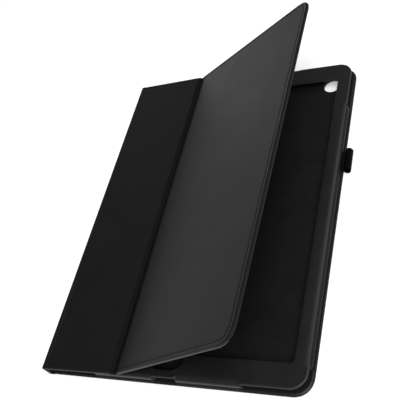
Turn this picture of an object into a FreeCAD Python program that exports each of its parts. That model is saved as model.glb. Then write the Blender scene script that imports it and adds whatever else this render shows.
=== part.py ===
"""Folio case for a large tablet, lying on its back with the cover half raised.

The case is modelled empty. X runs to the right, Y up the long side, Z out of the front.
The origin is on the back's outer face, at the centre of the pocket. Lengths are in millimetres.
"""
import FreeCAD, Part
import os
import Sketcher

doc = FreeCAD.newDocument("tablet_case")
sheet = doc.addObject("Spreadsheet::Sheet", "Sizes")

SIZES = {
    # The tablet that the pocket is made for, and its room
    "tablet_width": 220.6,
    "tablet_length": 305.7,
    "tablet_depth": 6.9,
    "side_room": 1.8,
    "end_room": 0.65,
    "depth_room": 0.1,
    # The layers of the back, the frame, the walls, the spine and the cover
    "back_skin": 0.7,
    "back_board": 1.4,
    "back_lining": 0.7,
    "frame_lining": 0.3,
    "frame_board": 0.5,
    "frame_skin": 0.6,
    "wall_lining": 0.5,
    "wall_foam": 3.6,
    "wall_skin": 0.7,
    "spine_lining": 0.5,
    "spine_board": 1.0,
    "spine_skin": 0.7,
    "cover_lining": 0.7,
    "cover_board": 1.9,
    "cover_skin": 0.7,
    "cover_gap": 0.3,
    "turn_in": 2.0,
    # The outlines
    "flange": 1.1,
    "frame_setback": 1.3,
    "back_corner": 15.0,
    "frame_corner": 13.0,
    "cover_corner": 14.0,
    "cover_overhang": 0.6,
    "spine_room": 3.5,
    "frame_room": 0.6,
    # The window in the frame and its notch for the home button
    "window_side_lap": 6.6,
    "window_end_lap": 15.35,
    "window_corner": 3.5,
    "notch_depth": 16.0,
    "notch_radius": 14.1,
    "notch_mouth": 32.0,
    # The walls round the pocket, and the gaps between them
    "right_wall_foot": 14.5,
    "right_wall_head": 49.0,
    "end_wall_reach": 65.0,
    "port_gap": 21.0,
    "shoulder_drop": 2.4,
    "shoulder_cut": 0.4,
    # The camera hole in the back
    "camera_radius": 8.0,
    "camera_inset": 14.2,
    "camera_rim": 0.6,
    # The folds, and the pose of the cover
    "fold_radius": 1.5,
    "fold_clear": 2.1,
    "crease_half_gap": 1.5,
    "crease_lift": 0.2,
    "strip_gap": 0.05,
    "narrow_width": 77.0,
    "wide_width": 154.5,
    "narrow_tilt": 2.2,
    "wide_raise": 28.7,
    # The sewing
    "stitch_inset": 3.6,
    "thread_width": 0.4,
    "thread_height": 0.2,
    "groove_depth": 0.3,
    "groove_margin": 0.1,
    # The stylus loop on the right side
    "loop_low": 36.0,
    "loop_high": 57.8,
    "loop_radius": 3.9,
    "loop_band": 0.8,
    "loop_clear": 0.6,
    "loop_lift": 0.1,
    "neck_start": 0.5,
    "neck_relief": 0.1,
    "tab_depth": 4.0,
    "tab_reach": 0.2,
    # The lip in the back that holds the free edge of the cover as a stand
    "lip_reach": 171.0,
    "lip_width": 13.0,
    "lip_length": 120.0,
    "lip_thickness": 0.55,
    "lip_clear": 0.4,
    # The magnets in the cover that wake the screen
    "magnet_length": 20.0,
    "magnet_width": 5.0,
    "magnet_thickness": 1.2,
    "magnet_inset": 12.0,
    "magnet_spread": 90.0,
}
for row, (alias, number) in enumerate(SIZES.items(), start=1):
    sheet.set(f"A{row}", alias.replace("_", " "))
    sheet.set(f"B{row}", str(number))
    sheet.setAlias(f"B{row}", alias)
doc.recompute()


def size(text):
    """Write an expression on the sheet's cells: every word that is an alias gets the sheet's name."""
    words = text.replace("(", " ( ").replace(")", " ) ").split()
    named = " ".join(f"Sizes.{word}" if word in SIZES else word for word in words)
    return named.replace("sin (", "sin(").replace("cos (", "cos(")


def value(text):
    """Work out an expression on the sheet's cells as a number."""
    result = sheet.evalExpression(size(text))
    return float(getattr(result, "Value", result))


# Places that several pieces share, as expressions on the driving dimensions

BACK_TOP = "( back_skin + back_board + back_lining )"
FRAME_LOW = f"( {BACK_TOP} + tablet_depth + depth_room )"
FRAME_BOARD_LOW = f"( {FRAME_LOW} + frame_lining )"
FRAME_TOP = f"( {FRAME_BOARD_LOW} + frame_board + frame_skin )"
COVER_THICK = "( cover_skin + cover_board + cover_lining )"
COVER_TOP = f"( {FRAME_TOP} + cover_gap + {COVER_THICK} )"

POCKET_RIGHT = "( tablet_width / 2 + side_room )"
POCKET_END = "( tablet_length / 2 + end_room )"
WALL_THICK = "( wall_lining + wall_foam + wall_skin )"
WALL_RIGHT = f"( {POCKET_RIGHT} + {WALL_THICK} )"
WALL_END = f"( {POCKET_END} + {WALL_THICK} )"
BACK_RIGHT = f"( {WALL_RIGHT} + flange )"
BACK_END = f"( {WALL_END} + flange )"
FRAME_RIGHT = f"( {WALL_RIGHT} - frame_setback )"
FRAME_END = f"( {WALL_END} - frame_setback )"
COVER_END = f"( {BACK_END} + cover_overhang )"

SPINE_THICK = "( spine_skin + spine_board + spine_lining )"
SPINE_INNER = "( - tablet_width / 2 - spine_room )"
SPINE_OUTER = f"( {SPINE_INNER} - {SPINE_THICK} )"
FOLD_X = f"( {SPINE_OUTER} + fold_radius )"
BACK_LEFT = f"( {FOLD_X} + fold_clear )"
FRAME_LEFT = f"( {SPINE_INNER} + frame_room )"
FRONT_FOLD_Z = f"( {COVER_TOP} - fold_radius )"

# The crease's axis, first in the narrow panel's own frame and then in the case's frame
CREASE_U = "( narrow_width - fold_radius )"
CREASE_W = "( fold_radius + crease_lift )"
CREASE_X = f"( {FOLD_X} + {CREASE_U} * cos( narrow_tilt ) - {CREASE_W} * sin( narrow_tilt ) )"
CREASE_Z = f"( {FRONT_FOLD_Z} + {CREASE_U} * sin( narrow_tilt ) + {CREASE_W} * cos( narrow_tilt ) )"

WINDOW_RIGHT = "( tablet_width / 2 - window_side_lap )"
WINDOW_END = "( tablet_length / 2 - window_end_lap )"

# A frame is where a piece's own origin lies, and how far it is turned up about the Y axis
FLAT = ("0", "0", "0")
NARROW = (FOLD_X, FRONT_FOLD_Z, "narrow_tilt")
WIDE = (CREASE_X, CREASE_Z, "wide_raise")

# Extents of the two panels in their own frames: along the panel, then through its thickness
NARROW_FROM = "fold_clear"
NARROW_TO = f"( {CREASE_U} - crease_half_gap )"
NARROW_OUT = "fold_radius"
WIDE_FROM = "crease_half_gap"
WIDE_TO = "wide_width"
WIDE_OUT = "( - crease_lift )"

# How far each cutting tool reaches past the piece that it cuts
PAST = "1"

# How many straight runs stand for a fold's arc
FOLD_STEPS = 6

# How near two points count as one
SAME_POINT = 1e-4

nodes = {}


def keep(node, thing):
    """Give a finished piece its name, which is also the name of its file."""
    thing.Label = node
    nodes[node] = thing
    return thing


def seat(thing, frame):
    """Put a piece in its panel's frame, with the place and the turn bound to the sheet."""
    x, z, turn = frame
    if frame is FLAT:
        return thing
    thing.Placement = FreeCAD.Placement(
        FreeCAD.Vector(value(x), 0, value(z)),
        FreeCAD.Rotation(FreeCAD.Vector(0, -1, 0), value(turn)),
    )
    thing.setExpression("Placement.Base.x", size(x))
    thing.setExpression("Placement.Base.z", size(z))
    thing.setExpression("Placement.Rotation.Angle", size(turn))
    return thing


def prism(name, corners, low, high, plane="XY_Plane", frame=FLAT, rounds=()):
    """Pad a polygon. rounds lists (index of corner, radius) for its upright edges.

    On XY_Plane the polygon is in x and y and the pad runs up Z from low to high.
    On XZ_Plane it is in x and z and the pad runs along Y from low to high.
    """
    body = doc.addObject("PartDesign::Body", name)
    sketch = body.newObject("Sketcher::SketchObject", f"{name}_outline")
    origin = next(f for f in body.Origin.OriginFeatures if f.Role == plane)
    sketch.AttachmentSupport = [(origin, "")]
    sketch.MapMode = "FlatFace"
    points = [FreeCAD.Vector(value(a), value(b), 0) for a, b in corners]
    count = len(points)
    for index in range(count):
        sketch.addGeometry(Part.LineSegment(points[index], points[(index + 1) % count]), False)
    for index in range(count):
        sketch.addConstraint(Sketcher.Constraint("Coincident", index, 2, (index + 1) % count, 1))
    for index, (a, b) in enumerate(corners):
        for kind, text in (("DistanceX", a), ("DistanceY", b)):
            rule = sketch.addConstraint(Sketcher.Constraint(kind, -1, 1, index, 1, value(text)))
            sketch.setExpression(f"Constraints[{rule}]", size(text))
    pad = body.newObject("PartDesign::Pad", f"{name}_pad")
    pad.Profile = sketch
    pad.Length = value(f"{high} - {low}")
    pad.setExpression("Length", size(f"{high} - {low}"))
    if plane == "XY_Plane":
        sketch.setExpression("AttachmentOffset.Base.z", size(low))
    else:
        pad.Reversed = True
        sketch.setExpression("AttachmentOffset.Base.z", size(f"- {low}"))
    doc.recompute()
    for step, (index, radius) in enumerate(rounds):
        base = body.Tip
        spot = points[index]
        near = []
        for number, edge in enumerate(base.Shape.Edges, start=1):
            ends = [v.Point for v in edge.Vertexes]
            if len(ends) != 2:
                continue
            flat = [(p.x, p.y if plane == "XY_Plane" else p.z) for p in ends]
            along = abs(ends[0].z - ends[1].z) if plane == "XY_Plane" else abs(ends[0].y - ends[1].y)
            if along > SAME_POINT and all(
                abs(a - spot.x) + abs(b - spot.y) < SAME_POINT for a, b in flat
            ):
                near.append(f"Edge{number}")
        fillet = body.newObject("PartDesign::Fillet", f"{name}_round{step}")
        fillet.Base = (base, near)
        fillet.Radius = value(radius)
        fillet.setExpression("Radius", size(radius))
        body.Tip = fillet
        doc.recompute()
    return seat(body, frame)


def slab(name, left, right, half, low, high, frame=FLAT, corner=None, rounded=(1, 2)):
    """Make a plate: x from left to right, y from -half to half, z from low to high."""
    corners = [(left, f"- {half}"), (right, f"- {half}"), (right, half), (left, half)]
    rounds = [(index, corner) for index in rounded] if corner else ()
    return prism(name, corners, low, high, frame=frame, rounds=rounds)


def block(name, left, right, front, rear, low, high, frame=FLAT):
    """Make a plain block between three pairs of planes."""
    corners = [(left, front), (right, front), (right, rear), (left, rear)]
    return prism(name, corners, low, high, frame=frame)


def together(name, things):
    """Join tools into one, so that a cut can take them all."""
    fuse = doc.addObject("Part::MultiFuse", name)
    fuse.Shapes = list(things)
    return fuse


def group(name, things):
    """Keep several separate solids as one piece's node."""
    compound = doc.addObject("Part::Compound", name)
    compound.Links = list(things)
    return compound


def cut(name, base, tools):
    """Take the tools out of the base."""
    result = doc.addObject("Part::Cut", name)
    result.Base = base
    result.Tool = tools[0] if len(tools) == 1 else together(f"{name}_tools", tools)
    return result


def upright(name, x, y, radius, low, high):
    """Make a cylinder that stands up Z."""
    post = doc.addObject("Part::Cylinder", name)
    post.setExpression("Radius", size(radius))
    post.setExpression("Height", size(f"{high} - {low}"))
    post.setExpression("Placement.Base.x", size(x))
    post.setExpression("Placement.Base.y", size(y))
    post.setExpression("Placement.Base.z", size(low))
    return post


def seam(name, left, right, half, inset, width, low, high, frame=FLAT, corner="0"):
    """Make a flat U along three edges of a panel: both ends and the right edge, open at the left."""
    outer = slab(
        f"{name}_outer", left, f"( {right} - {inset} )", f"( {half} - {inset} )", low, high,
        frame, f"( {corner} - {inset} )",
    )
    inner = slab(
        f"{name}_inner", f"( {left} - {PAST} )", f"( {right} - {inset} - {width} )",
        f"( {half} - {inset} - {width} )", f"( {low} - {PAST} )", f"( {high} + {PAST} )",
        frame, f"( {corner} - {inset} - {width} )",
    )
    return cut(name, outer, [inner])


GROOVE_INSET = "( stitch_inset - groove_margin )"
GROOVE_WIDTH = "( thread_width + groove_margin * 2 )"

# The back: leather outside with its edges turned in, a stiff board, and a soft lining


def camera_tool(name, radius):
    """Make a post through the back where the rear camera looks out."""
    x = "( tablet_width / 2 - camera_inset )"
    y = "( tablet_length / 2 - camera_inset )"
    return upright(name, x, y, radius, f"( - {PAST} )", f"( {BACK_TOP} + {PAST} )")


LIP_ROOT = f"( {SPINE_OUTER} + lip_reach + lip_width / 2 )"
LIP_FREE = f"( {LIP_ROOT} - lip_width )"


def make_back():
    board_low = "back_skin"
    lining_low = "( back_skin + back_board )"
    left = f"( {BACK_LEFT} + back_skin )"
    hole = "( camera_radius + camera_rim )"
    board = cut(
        "back_board_cut",
        slab(
            "back_board_plate", left, f"( {BACK_RIGHT} - back_skin )", f"( {BACK_END} - back_skin )",
            board_low, lining_low, corner="( back_corner - back_skin )",
        ),
        [camera_tool("board_camera", hole)],
    )
    lining = cut(
        "back_lining_cut",
        slab(
            "back_lining_plate", left, f"( {BACK_RIGHT} - turn_in )", f"( {BACK_END} - turn_in )",
            lining_low, BACK_TOP, corner="( back_corner - turn_in )",
        ),
        [camera_tool("lining_camera", hole)],
    )
    outer = slab("back_outer", BACK_LEFT, BACK_RIGHT, BACK_END, "0", BACK_TOP, corner="back_corner")
    groove = seam(
        "back_groove", f"( {BACK_LEFT} - {PAST} )", BACK_RIGHT, BACK_END, GROOVE_INSET, GROOVE_WIDTH,
        f"( - {PAST} )", "groove_depth", corner="back_corner",
    )
    lip_bed = slab(
        "lip_bed", f"( {LIP_FREE} - lip_clear )", f"( {LIP_ROOT} + lip_clear )",
        "( lip_length / 2 + lip_clear )", f"( - {PAST} )", "back_skin",
    )
    camera = camera_tool("skin_camera", "camera_radius")
    thread = seam(
        "back_seam", BACK_LEFT, BACK_RIGHT, BACK_END, "stitch_inset", "thread_width",
        "( groove_depth - thread_height )", "groove_depth", corner="back_corner",
    )
    keep("back_board", board)
    keep("back_lining", lining)
    keep("back_skin", cut("back_skin_cut", outer, [board, lining, groove, lip_bed, camera]))
    keep("back_thread", thread)


# The frame: a flat border round the screen's window, leather over a thin card


def window_tool(name, grow, low, high):
    """Make the window and its home-button notch, grown outwards by an amount on every side."""
    pane = slab(
        f"{name}_pane", f"( - {WINDOW_RIGHT} - {grow} )", f"( {WINDOW_RIGHT} + {grow} )",
        f"( {WINDOW_END} + {grow} )", low, high, corner="window_corner", rounded=(0, 1, 2, 3),
    )
    centre_y = f"( - {WINDOW_END} - notch_depth + notch_radius )"
    bowl = upright(f"{name}_bowl", "0", centre_y, f"( notch_radius + {grow} )", low, high)
    mouth = f"( notch_mouth / 2 + {grow} )"
    waist = f"( notch_radius + {grow} )"
    mouth_y = f"( - {WINDOW_END} + {PAST} )"
    flare = prism(
        f"{name}_flare",
        [
            (f"- {mouth}", mouth_y),
            (f"- {waist}", centre_y),
            (waist, centre_y),
            (mouth, mouth_y),
        ],
        low,
        high,
    )
    return together(name, [pane, bowl, flare])


def frame_layer(name, inset, grow, low, high):
    """Make one layer of the frame, set in from its outer edge and back from its window."""
    plate = slab(
        f"{name}_plate", f"( {FRAME_LEFT} + {inset} )", f"( {FRAME_RIGHT} - {inset} )",
        f"( {FRAME_END} - {inset} )", low, high, corner=f"( frame_corner - {inset} )",
    )
    window = window_tool(f"{name}_window", grow, f"( {low} - {PAST} )", f"( {high} + {PAST} )")
    return cut(name, plate, [window])


def make_frame():
    skin_low = f"( {FRAME_BOARD_LOW} + frame_board )"
    lining = frame_layer("frame_lining_cut", "frame_skin", "frame_skin", FRAME_LOW, FRAME_BOARD_LOW)
    board = frame_layer("frame_board_cut", "frame_skin", "frame_skin", FRAME_BOARD_LOW, skin_low)
    outer = frame_layer("frame_outer", "0", "0", FRAME_LOW, FRAME_TOP)
    keep("frame_lining", lining)
    keep("frame_board", board)
    keep("frame_skin", cut("frame_skin_cut", outer, [board, lining]))


# The walls: foam between a leather skin and a lining, sewn down to the back by a flange

FOAM_IN = "wall_lining"
SKIN_IN = "( wall_lining + wall_foam )"
FOOT_OUT = f"( {WALL_THICK} + flange )"
FOOT_TOP = f"( {BACK_TOP} + wall_skin )"
SHOULDER_LOW = f"( {FRAME_TOP} - shoulder_drop )"
SHOULDER_IN = f"( {WALL_THICK} - frame_setback )"

WALL_LAYERS = {
    "lining": [
        ("0", BACK_TOP), (FOAM_IN, BACK_TOP), (FOAM_IN, FRAME_LOW), ("0", FRAME_LOW),
    ],
    "foam": [
        (FOAM_IN, BACK_TOP), (SKIN_IN, BACK_TOP), (SKIN_IN, FRAME_LOW), (FOAM_IN, FRAME_LOW),
    ],
    "skin": [
        (SKIN_IN, BACK_TOP),
        (FOOT_OUT, BACK_TOP),
        (FOOT_OUT, FOOT_TOP),
        (WALL_THICK, FOOT_TOP),
        (WALL_THICK, SHOULDER_LOW),
        (f"( {WALL_THICK} - shoulder_cut )", f"( {FRAME_TOP} - shoulder_cut * 2 )"),
        (SHOULDER_IN, FRAME_TOP),
        (SHOULDER_IN, FRAME_LOW),
        (SKIN_IN, FRAME_LOW),
    ],
}

# Which way each side of the pocket faces, and where the walls' inner faces lie on that side
SIDES = {
    "right": (FreeCAD.Vector(1, 0, 0), "x", POCKET_RIGHT),
    "bottom": (FreeCAD.Vector(0, -1, 0), "y", f"( - {POCKET_END} )"),
    "top": (FreeCAD.Vector(0, 1, 0), "y", POCKET_END),
}

# Each wall: its side of the pocket, and where it starts and ends
WALLS = {
    "right_wall": (
        "right", f"( right_wall_foot - {POCKET_END} )", f"( {POCKET_END} - right_wall_head )",
    ),
    "bottom_left_wall": ("bottom", "( - end_wall_reach )", "( - port_gap / 2 )"),
    "bottom_right_wall": ("bottom", "( port_gap / 2 )", "end_wall_reach"),
    "top_wall": ("top", "( - end_wall_reach )", "end_wall_reach"),
}


def turn_wall(piece, side):
    """Move a wall's section out to its side of the pocket."""
    facing, axis, place = SIDES[side]
    piece.Placement = FreeCAD.Placement(
        FreeCAD.Vector(0, 0, 0), FreeCAD.Rotation(SIDES["right"][0], facing)
    )
    piece.setExpression(f"Placement.Base.{axis}", size(place))
    return piece


def make_walls():
    tab_slot = block(
        "tab_slot", f"( {POCKET_RIGHT} - {PAST} )", f"( {BACK_RIGHT} + {PAST} )",
        "loop_low", "loop_high", f"( {BACK_TOP} - {PAST} )", f"( {BACK_TOP} + loop_band )",
    )
    threads = []
    for wall, (side, low, high) in WALLS.items():
        # A wall turned to the top end runs the other way along X, so its ends change places
        first, last = (f"( - {high} )", f"( - {low} )") if side == "top" else (low, high)
        for layer, corners in WALL_LAYERS.items():
            piece = prism(f"{wall}_{layer}_section", corners, first, last, plane="XZ_Plane")
            turn_wall(piece, side)
            if wall == "right_wall":
                piece = cut(f"{wall}_{layer}_cut", piece, [tab_slot])
            keep(f"{wall}_{layer}", piece)
        middle = f"( {WALL_THICK} + flange / 2 )"
        thread = prism(
            f"{wall}_seam",
            [
                (f"( {middle} - thread_width / 2 )", FOOT_TOP),
                (f"( {middle} + thread_width / 2 )", FOOT_TOP),
                (f"( {middle} + thread_width / 2 )", f"( {FOOT_TOP} + thread_height )"),
                (f"( {middle} - thread_width / 2 )", f"( {FOOT_TOP} + thread_height )"),
            ],
            first, last, plane="XZ_Plane",
        )
        turn_wall(thread, side)
        threads.append(cut("flange_seam_cut", thread, [tab_slot]) if wall == "right_wall" else thread)
    keep("flange_thread", group("flange_threads", threads))


# The spine and the two soft folds beside it


def make_spine():
    low = "( fold_radius + strip_gap )"
    high = f"( {FRONT_FOLD_Z} - strip_gap )"
    skin_in = f"( {SPINE_OUTER} + spine_skin )"
    board_in = f"( {skin_in} + spine_board )"
    lining = slab("spine_lining_plate", board_in, SPINE_INNER, f"( {COVER_END} - turn_in )", low, high)
    board = slab("spine_board_plate", skin_in, board_in, f"( {COVER_END} - spine_skin )", low, high)
    outer = slab("spine_outer", SPINE_OUTER, SPINE_INNER, COVER_END, low, high)
    keep("spine_lining", lining)
    keep("spine_board", board)
    keep("spine_skin", cut("spine_skin_cut", outer, [board, lining]))


def fold_section(name, points, frame=FLAT):
    """Pad a fold's section, given in x and z, along the whole length of the cover."""
    return prism(name, points, f"( - {COVER_END} )", COVER_END, plane="XZ_Plane", frame=frame)


def arc_points(x, z, radius, first, last):
    """Points on an arc about an axis, from one angle to another, as expressions."""
    points = []
    for step in range(FOLD_STEPS + 1):
        angle = f"( {first} + ( {last} - {first} ) * {step} / {FOLD_STEPS} )"
        points.append((f"( {x} + {radius} * cos( {angle} ) )", f"( {z} + {radius} * sin( {angle} ) )"))
    return points


def make_folds():
    inner = "( fold_radius - spine_skin )"
    run_end = f"( {BACK_LEFT} - strip_gap )"
    back_outer = arc_points(FOLD_X, "fold_radius", "fold_radius", "180", "270")
    back_inner = arc_points(FOLD_X, "fold_radius", inner, "270", "180")
    keep("back_fold", fold_section(
        "back_fold_section",
        back_outer + [(run_end, "0"), (run_end, "spine_skin")] + back_inner,
    ))
    # The front fold is drawn in the narrow panel's frame, where the spine leans back by the tilt
    reach = "( fold_clear - strip_gap )"
    lean = "( 180 - narrow_tilt )"
    front_outer = arc_points("0", "0", "fold_radius", "90", lean)
    front_inner = arc_points("0", "0", inner, lean, "90")
    keep("front_fold", fold_section(
        "front_fold_section",
        [(reach, inner), (reach, "fold_radius")] + front_outer + front_inner,
        NARROW,
    ))
    # The crease, in the narrow panel's frame: flat, bent at the axis, and flat again
    bend_up = "( wide_raise - narrow_tilt )"
    start = f"( {NARROW_TO} + strip_gap )"
    run = "( crease_half_gap - strip_gap )"
    top = "fold_radius"
    under = "( fold_radius - cover_skin )"

    def on_wide(along, out):
        """A point of the wide panel, in the narrow panel's frame."""
        return (
            f"( {CREASE_U} + {along} * cos( {bend_up} ) - {out} * sin( {bend_up} ) )",
            f"( {CREASE_W} + {along} * sin( {bend_up} ) + {out} * cos( {bend_up} ) )",
        )

    below = "( - crease_lift - cover_skin )"
    keep("crease_fold", fold_section(
        "crease_fold_section",
        [
            (start, under),
            (f"( {CREASE_U} + cover_skin * sin( {bend_up} ) / 2 )", under),
            on_wide(run, below),
            on_wide(run, WIDE_OUT),
            (f"( {CREASE_U} + crease_lift * sin( {bend_up} ) / 2 )", top),
            (start, top),
        ],
        NARROW,
    ))


# The cover's two panels: leather with its edges turned in, a board, and a soft lining


def make_panel(node, frame, left, right, out, corner, threads, magnets=()):
    """Make one panel of the cover, hollowed for its board, its lining and its sewing."""
    board_top = f"( {out} - cover_skin )"
    lining_top = f"( {board_top} - cover_board )"
    under = f"( {lining_top} - cover_lining )"

    def layer(name, inset, low, high):
        rounding = f"( {corner} - {inset} )" if corner else None
        return slab(
            name, f"( {left} + {inset} )", f"( {right} - {inset} )", f"( {COVER_END} - {inset} )",
            low, high, frame, rounding,
        )

    board = layer(f"{node}_board_plate", "cover_skin", lining_top, board_top)
    if magnets:
        board = cut(f"{node}_board_cut", board, magnets)
    lining = layer(f"{node}_lining_plate", "turn_in", under, lining_top)
    outer = slab(f"{node}_outer", left, right, COVER_END, under, out, frame, corner)
    keep(f"{node}_board", board)
    keep(f"{node}_lining", lining)
    tools = [board, lining, *magnets, *threads]
    keep(f"{node}_skin", cut(f"{node}_skin_cut", outer, tools))


def make_cover():
    groove_low = "( fold_radius - groove_depth )"
    rows = {"bottom": "- 1", "top": "1"}
    grooves = []
    strips = []
    for end, sign in rows.items():
        edge = f"( {sign} * ( {COVER_END} - stitch_inset - thread_width / 2 ) )"
        for width, low, high, into in (
            (GROOVE_WIDTH, groove_low, f"( fold_radius + {PAST} )", grooves),
            ("thread_width", groove_low, f"( {groove_low} + thread_height )", strips),
        ):
            into.append(block(
                f"narrow_{end}_{'groove' if into is grooves else 'thread'}",
                NARROW_FROM, NARROW_TO, f"( {edge} - {width} / 2 )", f"( {edge} + {width} / 2 )",
                low, high, NARROW,
            ))
    keep("narrow_thread", group("narrow_threads", strips))
    make_panel("narrow", NARROW, NARROW_FROM, NARROW_TO, NARROW_OUT, None, grooves)

    floor = f"( {WIDE_OUT} - groove_depth )"
    groove = seam(
        "wide_groove", f"( {WIDE_FROM} - {PAST} )", WIDE_TO, COVER_END, GROOVE_INSET, GROOVE_WIDTH,
        floor, f"( {WIDE_OUT} + {PAST} )", WIDE, "cover_corner",
    )
    thread = seam(
        "wide_seam", WIDE_FROM, WIDE_TO, COVER_END, "stitch_inset", "thread_width",
        floor, f"( {floor} + thread_height )", WIDE, "cover_corner",
    )
    keep("wide_thread", thread)
    middle = f"( {WIDE_OUT} - cover_skin - cover_board / 2 )"
    bars = []
    for end, sign in rows.items():
        centre = f"( {sign} * magnet_spread / 2 )"
        bars.append(block(
            f"magnet_{end}",
            f"( {WIDE_TO} - magnet_inset - magnet_width / 2 )",
            f"( {WIDE_TO} - magnet_inset + magnet_width / 2 )",
            f"( {centre} - magnet_length / 2 )", f"( {centre} + magnet_length / 2 )",
            f"( {middle} - magnet_thickness / 2 )", f"( {middle} + magnet_thickness / 2 )", WIDE,
        ))
    keep("wake_magnets", group("wake_magnet_pair", bars))
    make_panel("wide", WIDE, WIDE_FROM, WIDE_TO, WIDE_OUT, "cover_corner", [groove], bars)


# The stylus loop: a ring of elastic on a tab that is sewn in under the right wall


def make_loop():
    tab_out = f"( {BACK_RIGHT} + tab_reach )"
    tab = block(
        "loop_tab_strip", f"( {BACK_RIGHT} - tab_depth )", tab_out, "loop_low", "loop_high",
        BACK_TOP, f"( {BACK_TOP} + loop_band )",
    )
    keep("loop_tab", tab)
    centre_x = f"( {BACK_RIGHT} + loop_clear + loop_radius )"
    rings = []
    for part, radius in (("band", "loop_radius"), ("hollow", "( loop_radius - loop_band )")):
        ring = doc.addObject("Part::Cylinder", f"loop_{part}")
        ring.setExpression("Radius", size(radius))
        ring.setExpression("Height", size("loop_high - loop_low"))
        ring.Placement = FreeCAD.Placement(
            FreeCAD.Vector(0, 0, 0), FreeCAD.Rotation(FreeCAD.Vector(1, 0, 0), 90)
        )
        ring.setExpression("Placement.Base.x", size(centre_x))
        ring.setExpression("Placement.Base.y", size("loop_high"))
        ring.setExpression("Placement.Base.z", size("loop_radius + loop_lift"))
        rings.append(ring)
    band, hollow = rings
    neck = block(
        "loop_neck", f"( {BACK_RIGHT} + neck_start )",
        f"( {BACK_RIGHT} + loop_clear + loop_band )", "loop_low", "loop_high",
        f"( {BACK_TOP} + neck_relief )", f"( {BACK_TOP} + loop_band - neck_relief )",
    )
    keep("stylus_loop", cut("stylus_loop_cut", together("loop_whole", [band, neck]), [hollow]))


def make_lip():
    """Make the leather lip that lies flush in the back's skin and opens outwards as a stand's catch."""
    low = "( ( back_skin - lip_thickness ) / 2 )"
    keep("stand_lip", slab(
        "stand_lip_strip", LIP_FREE, LIP_ROOT, "( lip_length / 2 )", low, f"( {low} + lip_thickness )",
    ))


def main():
    make_back()
    make_frame()
    make_walls()
    make_spine()
    make_folds()
    make_cover()
    make_loop()
    make_lip()
    doc.recompute()
    for thing in doc.Objects:
        faults = {"Invalid", "Error"} & set(thing.State)
        if faults:
            raise RuntimeError(f"{thing.Name} is {sorted(faults)}")
    for node, thing in nodes.items():
        if thing.Shape.isNull() or not thing.Shape.isValid() or not thing.Shape.Solids:
            raise RuntimeError(f"{node} has no valid shape")
    os.makedirs("parts", exist_ok=True)
    for node, thing in nodes.items():
        thing.Shape.exportStep(f"parts/{node}.step")
        box = thing.Shape.BoundBox
        print(
            f"{node}: {len(thing.Shape.Solids)} solid(s), {thing.Shape.Volume / 1000:.2f} cm3, "
            f"x {box.XMin:.2f} to {box.XMax:.2f}, y {box.YMin:.2f} to {box.YMax:.2f}, "
            f"z {box.ZMin:.2f} to {box.ZMax:.2f}"
        )


main()
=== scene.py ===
# %% [markdown]
# # A folio case with a folding cover
# The real thing is black synthetic leather round stiff boards, with a soft lining. It lies on its back
# with its cover half raised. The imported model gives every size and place; this lesson dresses it.
# Lengths below are in millimetres, and become metres only when a mesh is made.

# %% Load the frame
import bpy
import bmesh
import numpy as np
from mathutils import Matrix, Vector


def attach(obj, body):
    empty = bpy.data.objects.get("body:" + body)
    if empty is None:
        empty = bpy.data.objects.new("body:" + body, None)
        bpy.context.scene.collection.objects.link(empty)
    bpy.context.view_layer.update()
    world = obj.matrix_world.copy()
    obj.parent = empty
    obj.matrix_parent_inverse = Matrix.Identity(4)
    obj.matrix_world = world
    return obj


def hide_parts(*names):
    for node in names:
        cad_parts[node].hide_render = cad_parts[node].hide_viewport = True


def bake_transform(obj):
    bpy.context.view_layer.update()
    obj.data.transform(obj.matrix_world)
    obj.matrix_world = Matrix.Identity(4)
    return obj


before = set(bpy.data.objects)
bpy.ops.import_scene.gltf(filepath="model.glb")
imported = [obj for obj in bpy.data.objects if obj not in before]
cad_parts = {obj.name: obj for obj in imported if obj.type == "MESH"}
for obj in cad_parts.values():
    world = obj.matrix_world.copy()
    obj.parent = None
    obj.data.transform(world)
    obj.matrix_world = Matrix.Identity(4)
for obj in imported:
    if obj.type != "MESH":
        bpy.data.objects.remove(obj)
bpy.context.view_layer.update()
MM = 0.001

# %% [markdown]
# ## Places
# The case is folded from flat panels, so each panel is easiest to draw lying flat: u runs across it, y
# along the case, and w out of its outer face. A place is a function that carries those three numbers to
# where the panel really is. The wide panel of a used case is never quite flat. Here it is raised 28.7
# degrees at its top end and 2.4 degrees more at its bottom end, which its place adds as a gentle twist.

# %% Where each panel lies
HALF_LENGTH = 160.0
FOLD_X = -114.5
BACK_FOLD_Z = 1.5
FRONT_FOLD_Z = 13.3
NARROW_TILT = np.radians(2.2)
CREASE_U = 75.5
CREASE_W = 1.7
CREASE_X = FOLD_X + CREASE_U * np.cos(NARROW_TILT) - CREASE_W * np.sin(NARROW_TILT)
CREASE_Z = FRONT_FOLD_Z + CREASE_U * np.sin(NARROW_TILT) + CREASE_W * np.cos(NARROW_TILT)
WIDE_RAISE = np.radians(28.7)
WIDE_TWIST = np.radians(2.4)
SPINE_OUTER = -116.0


def stack(x, y, z):
    """Join three arrays of any matching shapes into points."""
    return np.stack(np.broadcast_arrays(x, y, z), axis=-1)


def on_case(u, y, w):
    """The case's own axes: no turn at all."""
    return stack(u, y, w)


def under_case(u, y, w):
    """The back's outer face looks down: w runs along -Z."""
    return stack(u, y, -w)


def on_spine(u, y, w):
    """The spine stands upright and its outer face looks along -X: u runs up Z."""
    return stack(SPINE_OUTER - w, y, u)


def turned(x, z, angle, u, y, w):
    """Turn u and w up by an angle about an axis along Y: x + u cos - w sin, z + u sin + w cos."""
    return stack(x + u * np.cos(angle) - w * np.sin(angle), y, z + u * np.sin(angle) + w * np.cos(angle))


def on_narrow(u, y, w):
    """The narrow panel leans back a little over the frame."""
    return turned(FOLD_X, FRONT_FOLD_Z, NARROW_TILT, u, y, w)


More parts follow.
